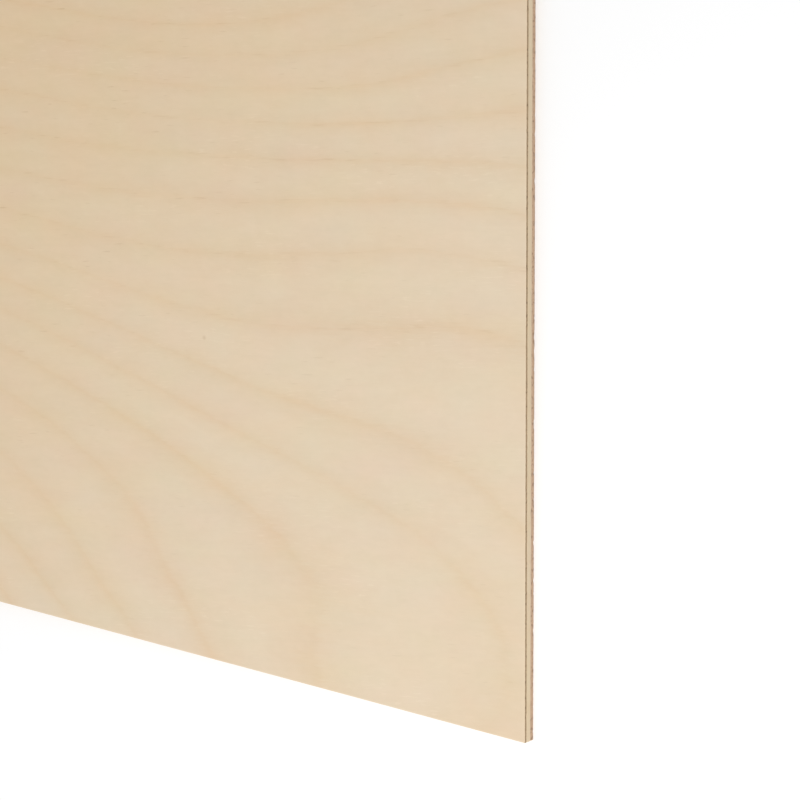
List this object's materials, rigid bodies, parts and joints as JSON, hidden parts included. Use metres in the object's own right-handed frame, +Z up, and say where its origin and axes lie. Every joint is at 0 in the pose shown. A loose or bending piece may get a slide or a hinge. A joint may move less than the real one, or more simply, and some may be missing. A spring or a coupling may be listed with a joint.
{
  "type": "plywood sheet",
  "caption": "Thin square plywood sheet: smooth pale birch face and back veneers glued to a cross-grained core veneer, with square sawn edges that show the plies.",
  "frame": {"origin": "middle of the underside of the back veneer, where the flat sheet rests", "axes": "+X along the grain of the face, +Y across it, +Z up through the thickness, out of the face"},
  "size_m": [0.305, 0.305, 0.003],
  "materials": {
    "birch_face": "bare rotary-cut birch, sanded smooth, pale cream with fine amber growth rings along X; darker end grain on the X edges",
    "birch_core": "bare sawn birch veneer with its grain along Y; light long grain on the X edges, darker end grain on the Y edges",
    "birch_back": "bare rotary-cut birch, sanded smooth, a little pinker than the face; brown end grain on the X edges"
  },
  "bodies": {
    "root": {"face_veneer": "birch_face", "core_veneer": "birch_core", "back_veneer": "birch_back"}
  },
  "joints": []
}
